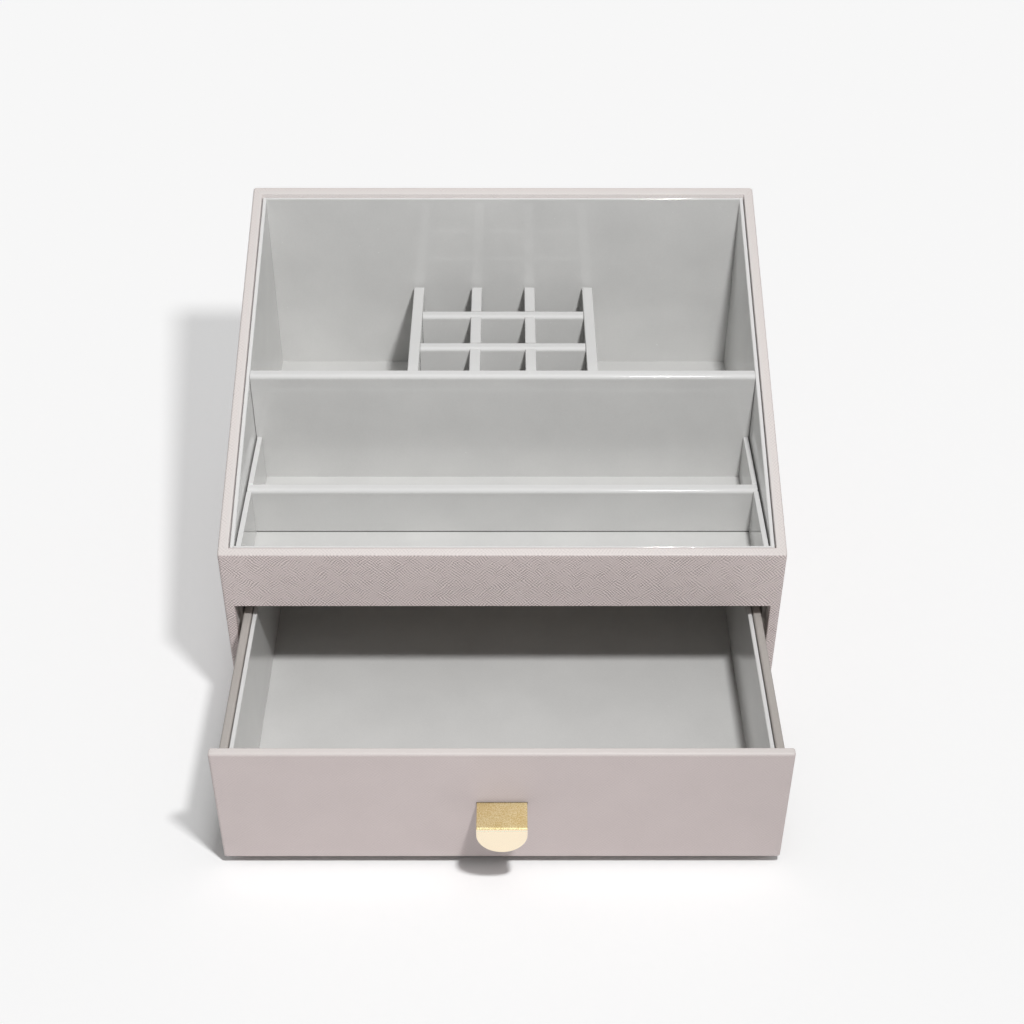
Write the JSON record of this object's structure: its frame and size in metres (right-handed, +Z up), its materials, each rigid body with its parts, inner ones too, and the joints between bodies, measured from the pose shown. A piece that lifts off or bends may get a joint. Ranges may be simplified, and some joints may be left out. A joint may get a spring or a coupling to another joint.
{
  "type": "makeup organizer",
  "caption": "Desktop makeup organizer with a sloping open top, lined trays, a lift-out brush grid and a drawer with a bent metal pull.",
  "frame": {"origin": "centre of the case's underside, on the surface that it stands on", "axes": "+X to the right seen from the front, +Y to the back, +Z up"},
  "size_m": [0.25, 0.2999, 0.1752],
  "materials": {
    "leatherette": "satin",
    "board": "matte",
    "felt": "matte",
    "lining": "satin",
    "taupe_paper": "matte",
    "gold": "satin"
  },
  "bodies": {
    "case": {"case_wrap": "leatherette", "left_side_board": "board", "right_side_board": "board", "back_board": "board", "apron_board": "board", "shelf_board": "board", "base_board": "board", "base_felt": "felt", "bay_left_liner": "taupe_paper", "bay_right_liner": "taupe_paper", "tray_floor_liner": "lining", "tray_left_liner": "lining", "tray_right_liner": "lining", "tray_back_liner": "lining", "tray_front_liner": "lining", "rear_divider": "lining", "middle_divider": "lining", "middle_tray_left_wall": "lining", "middle_tray_right_wall": "lining", "front_tray_left_wall": "lining", "front_tray_right_wall": "lining"},
    "drawer": {"drawer_front_board": "board", "drawer_front_wrap": "leatherette", "drawer_bottom": "board", "drawer_left_side": "taupe_paper", "drawer_right_side": "taupe_paper", "drawer_back": "taupe_paper", "drawer_floor_liner": "lining", "drawer_left_liner": "lining", "drawer_right_liner": "lining", "drawer_front_liner": "lining", "drawer_back_liner": "lining", "drawer_pull": "gold"},
    "brush_grid": {"grid_left_wall": "lining", "grid_right_wall": "lining", "grid_left_partition": "lining", "grid_right_partition": "lining", "grid_front_cross_board": "lining", "grid_rear_cross_board": "lining"}
  },
  "joints": [
    {"name": "drawer_slide", "type": "slide", "parent": "case", "child": "drawer", "axis": [0, -1, 0], "range_m": [-0.089, 0.1]},
    {"name": "brush_grid_lift", "type": "slide", "parent": "case", "child": "brush_grid", "axis": [0, 0, 1], "range_m": [0, 0.105]}
  ]
}
